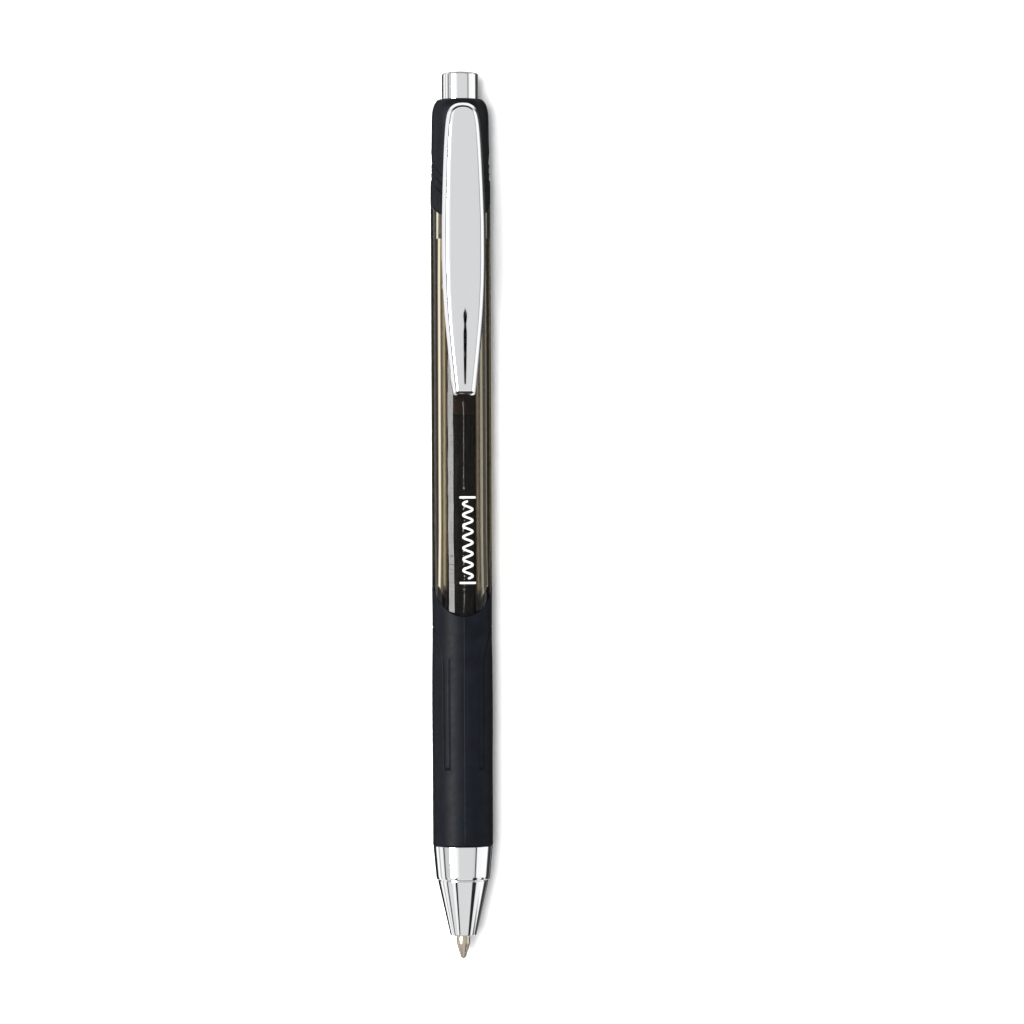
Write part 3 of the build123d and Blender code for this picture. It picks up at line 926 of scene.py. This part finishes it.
def make_world():
    """Studio round the pen's axis: grey overhead, white walls, dark gaps; the camera itself sees white."""
    world = bpy.data.worlds.new("studio")
    bpy.context.scene.world = world
    world.use_nodes = True
    tree = world.node_tree
    where = tree.nodes.new("ShaderNodeTexCoord")
    split = tree.nodes.new("ShaderNodeSeparateXYZ")
    angle = math_node(tree, "ARCTAN2")
    # degrees from overhead, towards +X: light level
    bands = (
        (-180, 0.02), (-138, 0.02), (-134, 0.9), (-127, 1.2), (-122, 1.1), (-117, 0.7), (-112, 0.4),
        (-108, 0.95), (-92, 1.0), (-89, 0.10), (-84, 0.10), (-81, 0.62), (-62, 0.66), (-58, 1.0), (-27, 1.0),
        (-20, 0.72), (33, 0.72), (45, 0.66), (47, 0.08), (51, 0.08), (54, 1.0), (106, 1.1), (110, 0.7),
        (113, 0.05), (138, 0.03), (140, 0.25), (146, 0.3), (148, 0.03), (180, 0.02),
    )
    value, sides = level_ramp(tree, bands, -180, 180)
    degrees = math_node(tree, "DEGREES")
    tree.links.new(where.outputs["Generated"], split.inputs["Vector"])
    tree.links.new(split.outputs["X"], angle.inputs[0])
    tree.links.new(split.outputs["Z"], angle.inputs[1])
    tree.links.new(angle.outputs["Value"], degrees.inputs[0])
    tree.links.new(degrees.outputs["Value"], value)
    sides = nose_walls(tree, split, degrees, sides)
    lit = unlit_inside(tree, split, end_walls(tree, split, sides))
    path = tree.nodes.new("ShaderNodeLightPath")
    backdrop = tree.nodes.new("ShaderNodeMix")
    backdrop.data_type = "RGBA"
    backdrop.inputs["B"].default_value = (1, 1, 1, 1)
    tree.links.new(path.outputs["Is Camera Ray"], backdrop.inputs["Factor"])
    tree.links.new(lit, backdrop.inputs["A"])
    tree.links.new(backdrop.outputs["Result"], tree.nodes["Background"].inputs["Color"])


def aim(thing, place, target, roll=0.0):
    """Puts a lamp or camera at a place, looking at a target, with +Y up in its picture."""
    ahead = (target - place).normalized()
    side = ahead.cross(Vector((0, 1, 0))).normalized()
    up = side.cross(ahead)
    turn = Matrix((side, up, -ahead)).transposed()
    thing.matrix_world = Matrix.Translation(place) @ turn.to_4x4() @ Matrix.Rotation(roll, 4, "Z")


def make_lamp(name, lean, reach, across, length, energy):
    """Soft rectangular lamp over the pen's middle, leaning to the left of it by an angle in degrees."""
    lamp = bpy.data.lights.new(name, "AREA")
    lamp.shape = "RECTANGLE"
    lamp.size = across
    lamp.size_y = length
    lamp.energy = energy
    holder = add_object(name, lamp)
    middle = Vector((0, 0, AXIS_Z))
    lean = math.radians(lean)
    aim(holder, middle + reach * Vector((-math.sin(lean), 0, math.cos(lean))), middle)
    return holder


def make_lamps():
    """A softbox on the left that shows in glossy surfaces, and a lamp overhead that gives light and shade."""
    softbox = make_lamp("softbox", 47, 0.9, 0.36, 0.62, 18.0)
    softbox.visible_diffuse = False
    softbox.visible_transmission = False
    overhead = make_lamp("overhead", 20, 0.9, 0.40, 0.50, 14.0)
    overhead.visible_glossy = False
    overhead.visible_transmission = False


SENSOR_WIDTH = 36.0
CAMERA_REACH = 0.735
CAMERA_LEAN = math.radians(5.2)
CAMERA_ROLL = math.radians(-0.24)
PEN_OFFSET = (0.00823, 0.0005)  # how far the picture's middle is from the pen's, across and along, in metres
PICTURE_SIZE = 0.1675          # width of what the picture takes in at the pen, in metres


def make_camera():
    """Camera straight over the pen, a little to its left, with the pen left of the picture's middle."""
    lens = bpy.data.cameras.new("camera")
    lens.sensor_width = SENSOR_WIDTH
    lens.lens = SENSOR_WIDTH * CAMERA_REACH / PICTURE_SIZE
    lens.clip_start = 0.01
    camera = add_object("camera", lens)
    sight = Vector((-math.sin(CAMERA_LEAN), 0, math.cos(CAMERA_LEAN)))
    across = Vector((math.cos(CAMERA_LEAN), 0, math.sin(CAMERA_LEAN)))
    middle = Vector((0, 0, AXIS_Z))
    shift = across * PEN_OFFSET[0] + Vector((0, PEN_OFFSET[1], 0))
    aim(camera, middle + CAMERA_REACH * sight + shift, middle + shift, roll=CAMERA_ROLL)
    bpy.context.scene.camera = camera


def make_lens_shade():
    """Black leaf above the pen, opposite the camera's lean, whose reflection darkens the clip's middle."""
    half_length, half_width = 0.034, 0.044
    heights = np.linspace(-1, 1, 25)
    bows = [(half_width * (1 - h * h) ** 1.2, half_length * h) for h in heights]
    outline = bows + [(-x, y) for x, y in reversed(bows[1:-1])]
    shade = bpy.data.meshes.new("lens_shade")
    bm = bmesh.new()
    bm.faces.new([bm.verts.new((x, y, 0)) for x, y in outline])
    bm.to_mesh(shade)
    bm.free()
    black = (0.001, 0.001, 0.001, 1)
    material = new_material("lens_black", Base_Color=black, Roughness=0.9, Specular_IOR_Level=0.0)[0]
    shade.materials.append(material)
    disc = add_object("lens_shade", shade)
    middle = Vector((0, 0, AXIS_Z))
    away = Vector((math.sin(CAMERA_LEAN), 0, math.cos(CAMERA_LEAN)))
    aim(disc, middle + (CAMERA_REACH + 0.02) * away, middle)


make_floor()
make_world()
make_lamps()
make_camera()
make_lens_shade()
bpy.context.scene.view_settings.view_transform = "Standard"
